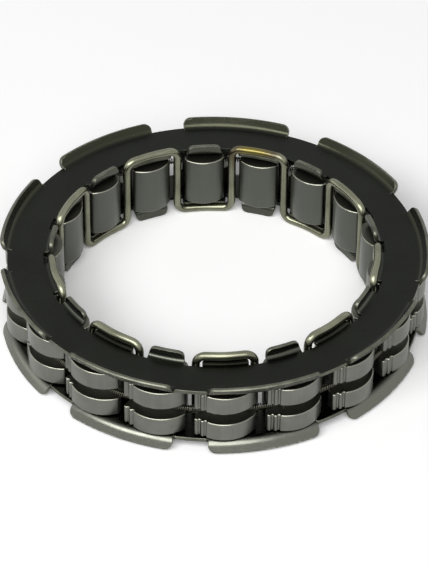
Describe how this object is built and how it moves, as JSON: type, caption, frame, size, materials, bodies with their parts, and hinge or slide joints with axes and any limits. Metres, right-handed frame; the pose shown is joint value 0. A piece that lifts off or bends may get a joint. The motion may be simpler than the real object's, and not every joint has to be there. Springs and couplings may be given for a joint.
{
  "type": "one-way clutch bearing",
  "caption": "Open sprag clutch ring: rocking sprags between two tabbed sheet-steel plates, tied by a serpentine wire and pressed on by a garter spring.",
  "frame": {"origin": "centre of the bearing: on its axis, half-way between the two side plates", "axes": "+Z along the bearing's axis, out of the top plate; +X through the middle of an outer tab and through a leg of the retaining wire"},
  "size_m": [0.0724, 0.0726, 0.0146],
  "materials": {
    "plate_steel": "satin, oiled",
    "wire_steel": "drawn, satin",
    "spring_steel": "drawn, satin",
    "sprag_steel": "ground, hardened"
  },
  "bodies": {
    "cage": {"top_plate": "plate_steel", "bottom_plate": "plate_steel", "retaining_wire": "wire_steel", "garter_spring": "spring_steel"},
    "sprag_01": {"sprag_01": "sprag_steel"},
    "sprag_02": {"sprag_02": "sprag_steel"},
    "sprag_03": {"sprag_03": "sprag_steel"},
    "sprag_04": {"sprag_04": "sprag_steel"},
    "sprag_05": {"sprag_05": "sprag_steel"},
    "sprag_06": {"sprag_06": "sprag_steel"},
    "sprag_07": {"sprag_07": "sprag_steel"},
    "sprag_08": {"sprag_08": "sprag_steel"},
    "sprag_09": {"sprag_09": "sprag_steel"},
    "sprag_10": {"sprag_10": "sprag_steel"},
    "sprag_11": {"sprag_11": "sprag_steel"},
    "sprag_12": {"sprag_12": "sprag_steel"},
    "sprag_13": {"sprag_13": "sprag_steel"},
    "sprag_14": {"sprag_14": "sprag_steel"},
    "sprag_15": {"sprag_15": "sprag_steel"},
    "sprag_16": {"sprag_16": "sprag_steel"},
    "sprag_17": {"sprag_17": "sprag_steel"},
    "sprag_18": {"sprag_18": "sprag_steel"}
  },
  "joints": [
    {"name": "sprag_01_rock", "type": "hinge", "parent": "cage", "child": "sprag_01", "pos_m": [0.03028, 0.00534, 0], "axis": [0, 0, 1], "range_deg": [-8, 0], "stiffness_Nm_per_rad": 0.005, "springref_deg": 34.38},
    {"name": "sprag_02_rock", "type": "hinge", "parent": "cage", "child": "sprag_02", "pos_m": [0.02663, 0.01537, 0], "axis": [0, 0, 1], "range_deg": [-8, 0], "stiffness_Nm_per_rad": 0.005, "springref_deg": 34.38},
    {"name": "sprag_03_rock", "type": "hinge", "parent": "cage", "child": "sprag_03", "pos_m": [0.01977, 0.02356, 0], "axis": [0, 0, 1], "range_deg": [-8, 0], "stiffness_Nm_per_rad": 0.005, "springref_deg": 34.38},
    {"name": "sprag_04_rock", "type": "hinge", "parent": "cage", "child": "sprag_04", "pos_m": [0.01052, 0.0289, 0], "axis": [0, 0, 1], "range_deg": [-8, 0], "stiffness_Nm_per_rad": 0.005, "springref_deg": 34.38},
    {"name": "sprag_05_rock", "type": "hinge", "parent": "cage", "child": "sprag_05", "pos_m": [0, 0.03075, 0], "axis": [0, 0, 1], "range_deg": [-8, 0], "stiffness_Nm_per_rad": 0.005, "springref_deg": 34.38},
    {"name": "sprag_06_rock", "type": "hinge", "parent": "cage", "child": "sprag_06", "pos_m": [-0.01052, 0.0289, 0], "axis": [0, 0, 1], "range_deg": [-8, 0], "stiffness_Nm_per_rad": 0.005, "springref_deg": 34.38},
    {"name": "sprag_07_rock", "type": "hinge", "parent": "cage", "child": "sprag_07", "pos_m": [-0.01977, 0.02356, 0], "axis": [0, 0, 1], "range_deg": [-8, 0], "stiffness_Nm_per_rad": 0.005, "springref_deg": 34.38},
    {"name": "sprag_08_rock", "type": "hinge", "parent": "cage", "child": "sprag_08", "pos_m": [-0.02663, 0.01537, 0], "axis": [0, 0, 1], "range_deg": [-8, 0], "stiffness_Nm_per_rad": 0.005, "springref_deg": 34.38},
    {"name": "sprag_09_rock", "type": "hinge", "parent": "cage", "child": "sprag_09", "pos_m": [-0.03028, 0.00534, 0], "axis": [0, 0, 1], "range_deg": [-8, 0], "stiffness_Nm_per_rad": 0.005, "springref_deg": 34.38},
    {"name": "sprag_10_rock", "type": "hinge", "parent": "cage", "child": "sprag_10", "pos_m": [-0.03028, -0.00534, 0], "axis": [0, 0, 1], "range_deg": [-8, 0], "stiffness_Nm_per_rad": 0.005, "springref_deg": 34.38},
    {"name": "sprag_11_rock", "type": "hinge", "parent": "cage", "child": "sprag_11", "pos_m": [-0.02663, -0.01537, 0], "axis": [0, 0, 1], "range_deg": [-8, 0], "stiffness_Nm_per_rad": 0.005, "springref_deg": 34.38},
    {"name": "sprag_12_rock", "type": "hinge", "parent": "cage", "child": "sprag_12", "pos_m": [-0.01977, -0.02356, 0], "axis": [0, 0, 1], "range_deg": [-8, 0], "stiffness_Nm_per_rad": 0.005, "springref_deg": 34.38},
    {"name": "sprag_13_rock", "type": "hinge", "parent": "cage", "child": "sprag_13", "pos_m": [-0.01052, -0.0289, 0], "axis": [0, 0, 1], "range_deg": [-8, 0], "stiffness_Nm_per_rad": 0.005, "springref_deg": 34.38},
    {"name": "sprag_14_rock", "type": "hinge", "parent": "cage", "child": "sprag_14", "pos_m": [0, -0.03075, 0], "axis": [0, 0, 1], "range_deg": [-8, 0], "stiffness_Nm_per_rad": 0.005, "springref_deg": 34.38},
    {"name": "sprag_15_rock", "type": "hinge", "parent": "cage", "child": "sprag_15", "pos_m": [0.01052, -0.0289, 0], "axis": [0, 0, 1], "range_deg": [-8, 0], "stiffness_Nm_per_rad": 0.005, "springref_deg": 34.38},
    {"name": "sprag_16_rock", "type": "hinge", "parent": "cage", "child": "sprag_16", "pos_m": [0.01977, -0.02356, 0], "axis": [0, 0, 1], "range_deg": [-8, 0], "stiffness_Nm_per_rad": 0.005, "springref_deg": 34.38},
    {"name": "sprag_17_rock", "type": "hinge", "parent": "cage", "child": "sprag_17", "pos_m": [0.02663, -0.01537, 0], "axis": [0, 0, 1], "range_deg": [-8, 0], "stiffness_Nm_per_rad": 0.005, "springref_deg": 34.38},
    {"name": "sprag_18_rock", "type": "hinge", "parent": "cage", "child": "sprag_18", "pos_m": [0.03028, -0.00534, 0], "axis": [0, 0, 1], "range_deg": [-8, 0], "stiffness_Nm_per_rad": 0.005, "springref_deg": 34.38}
  ],
  "couplings": [
    {"joint": "sprag_02_rock", "follows": "sprag_01_rock", "ratio": 1},
    {"joint": "sprag_03_rock", "follows": "sprag_01_rock", "ratio": 1},
    {"joint": "sprag_04_rock", "follows": "sprag_01_rock", "ratio": 1},
    {"joint": "sprag_05_rock", "follows": "sprag_01_rock", "ratio": 1},
    {"joint": "sprag_06_rock", "follows": "sprag_01_rock", "ratio": 1},
    {"joint": "sprag_07_rock", "follows": "sprag_01_rock", "ratio": 1},
    {"joint": "sprag_08_rock", "follows": "sprag_01_rock", "ratio": 1},
    {"joint": "sprag_09_rock", "follows": "sprag_01_rock", "ratio": 1},
    {"joint": "sprag_10_rock", "follows": "sprag_01_rock", "ratio": 1},
    {"joint": "sprag_11_rock", "follows": "sprag_01_rock", "ratio": 1},
    {"joint": "sprag_12_rock", "follows": "sprag_01_rock", "ratio": 1},
    {"joint": "sprag_13_rock", "follows": "sprag_01_rock", "ratio": 1},
    {"joint": "sprag_14_rock", "follows": "sprag_01_rock", "ratio": 1},
    {"joint": "sprag_15_rock", "follows": "sprag_01_rock", "ratio": 1},
    {"joint": "sprag_16_rock", "follows": "sprag_01_rock", "ratio": 1},
    {"joint": "sprag_17_rock", "follows": "sprag_01_rock", "ratio": 1},
    {"joint": "sprag_18_rock", "follows": "sprag_01_rock", "ratio": 1}
  ]
}
